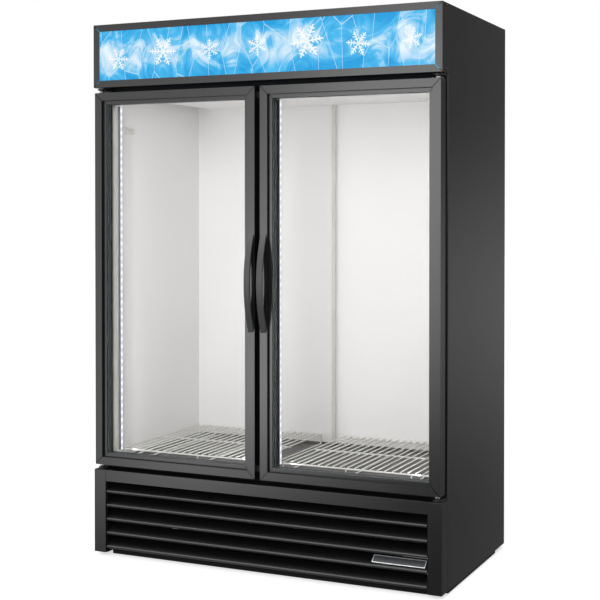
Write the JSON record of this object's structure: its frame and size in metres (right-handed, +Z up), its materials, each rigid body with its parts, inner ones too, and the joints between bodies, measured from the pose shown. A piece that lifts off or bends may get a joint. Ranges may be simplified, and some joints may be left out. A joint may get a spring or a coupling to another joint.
{
  "type": "ice merchandiser freezer",
  "caption": "Upright freezer cabinet with hinged glass doors, a lit header sign, a louvred base and floor racks for bagged ice.",
  "frame": {"origin": "middle of the whole box, handles included, on the floor", "axes": "+X to the right seen from the front, +Y from the doors to the back, +Z up"},
  "size_m": [1.375, 0.795, 1.997],
  "materials": {
    "powder_coat_black": "satin",
    "painted_back_steel": "satin",
    "louvre_black": "satin",
    "foam": "matte",
    "white_liner": "satin",
    "stainless_floor": "satin",
    "breaker_plastic": "satin",
    "black_plastic": "satin",
    "zinc_steel": "satin",
    "sign_acrylic": "gloss",
    "lamp_diffuser": "satin",
    "led_aluminium": "satin",
    "white_wire": "satin",
    "motor_black": "satin",
    "condenser_aluminium": "matte",
    "drain_plastic": "satin",
    "copper": "satin",
    "clear_glass": "gloss",
    "spacer_slate": "satin",
    "gasket_black": "matte"
  },
  "bodies": {
    "cabinet": {"side_panel_left": "powder_coat_black", "side_panel_right": "powder_coat_black", "box_panels": "painted_back_steel", "face_panels": "powder_coat_black", "foam_insulation": "foam", "liner_walls": "white_liner", "floor_pan": "stainless_floor", "breaker_strips": "breaker_plastic", "centre_mullion": "black_plastic", "base_frame": "painted_back_steel", "corner_posts": "powder_coat_black", "kick_band": "powder_coat_black", "louvre_grille": "louvre_black", "rear_cover": "painted_back_steel", "header_frame": "powder_coat_black", "header_shell": "powder_coat_black", "sign_panel": "sign_acrylic", "sign_lamp": "lamp_diffuser", "led_channels": "led_aluminium", "led_lenses": "lamp_diffuser", "evaporator_cover": "white_liner", "evaporator_coil": "led_aluminium", "evaporator_fan_motors": "motor_black", "drain_tube": "drain_plastic", "unit_tray": "zinc_steel", "compressor": "motor_black", "condenser_coil": "condenser_aluminium", "condenser_shroud": "motor_black", "condenser_fan_motor": "motor_black", "electrical_box": "motor_black", "refrigerant_lines": "copper", "temperature_control": "drain_plastic", "hinge_brackets": "zinc_steel"},
    "left_door": {"left_door_frame": "powder_coat_black", "left_glazing_bead": "powder_coat_black", "left_glass": "clear_glass", "left_spacer": "spacer_slate", "left_gasket": "gasket_black", "left_handle": "black_plastic", "left_hinge_hardware": "zinc_steel"},
    "right_door": {"right_door_frame": "powder_coat_black", "right_glazing_bead": "powder_coat_black", "right_glass": "clear_glass", "right_spacer": "spacer_slate", "right_gasket": "gasket_black", "right_handle": "black_plastic", "right_hinge_hardware": "zinc_steel"},
    "foot_front_left": {"leveling_foot_front_left": "zinc_steel"},
    "foot_front_right": {"leveling_foot_front_right": "zinc_steel"},
    "foot_rear_left": {"leveling_foot_rear_left": "zinc_steel"},
    "foot_rear_right": {"leveling_foot_rear_right": "zinc_steel"},
    "rack_left": {"floor_rack_left": "white_wire"},
    "evap_fan_left": {"evaporator_fan_left": "black_plastic"},
    "rack_right": {"floor_rack_right": "white_wire"},
    "evap_fan_right": {"evaporator_fan_right": "black_plastic"},
    "cond_fan": {"condenser_fan": "condenser_aluminium"},
    "knob": {"control_knob": "black_plastic"},
    "rocker": {"light_switch": "black_plastic"}
  },
  "joints": [
    {"name": "left_door_hinge", "type": "hinge", "parent": "cabinet", "child": "left_door", "pos_m": [-0.665, -0.3395, 0.345], "axis": [0, 0, -1], "range_deg": [0, 110], "stiffness_Nm_per_rad": 3, "springref_deg": -20.05},
    {"name": "right_door_hinge", "type": "hinge", "parent": "cabinet", "child": "right_door", "pos_m": [0.665, -0.3395, 0.345], "axis": [0, 0, 1], "range_deg": [0, 110], "stiffness_Nm_per_rad": 3, "springref_deg": -20.05},
    {"name": "foot_front_left_screw", "type": "slide", "parent": "cabinet", "child": "foot_front_left", "axis": [0, 0, -1], "range_m": [0, 0.018]},
    {"name": "foot_front_right_screw", "type": "slide", "parent": "cabinet", "child": "foot_front_right", "axis": [0, 0, -1], "range_m": [0, 0.018]},
    {"name": "foot_rear_left_screw", "type": "slide", "parent": "cabinet", "child": "foot_rear_left", "axis": [0, 0, -1], "range_m": [0, 0.018]},
    {"name": "foot_rear_right_screw", "type": "slide", "parent": "cabinet", "child": "foot_rear_right", "axis": [0, 0, -1], "range_m": [0, 0.018]},
    {"name": "rack_left_lift", "type": "slide", "parent": "cabinet", "child": "rack_left", "axis": [0, 0, 1], "range_m": [0, 0.2]},
    {"name": "rack_right_lift", "type": "slide", "parent": "cabinet", "child": "rack_right", "axis": [0, 0, 1], "range_m": [0, 0.2]},
    {"name": "evaporator_fan_left_spin", "type": "hinge", "parent": "cabinet", "child": "evap_fan_left", "pos_m": [-0.23835, -0.0625, 1.832], "axis": [0, 1, 0], "continuous": true},
    {"name": "evaporator_fan_right_spin", "type": "hinge", "parent": "cabinet", "child": "evap_fan_right", "pos_m": [0.23835, -0.0625, 1.832], "axis": [0, 1, 0], "continuous": true},
    {"name": "condenser_fan_spin", "type": "hinge", "parent": "cabinet", "child": "cond_fan", "pos_m": [0.25, -0.1885, 0.161], "axis": [0, 1, 0], "continuous": true},
    {"name": "temperature_knob_turn", "type": "hinge", "parent": "cabinet", "child": "knob", "pos_m": [0.4475, -0.0945, 1.787], "axis": [0, -1, 0], "range_deg": [-150, 120]},
    {"name": "light_switch_rock", "type": "hinge", "parent": "cabinet", "child": "rocker", "pos_m": [0.3775, -0.0875, 1.787], "axis": [1, 0, 0], "range_deg": [0, 12]}
  ]
}
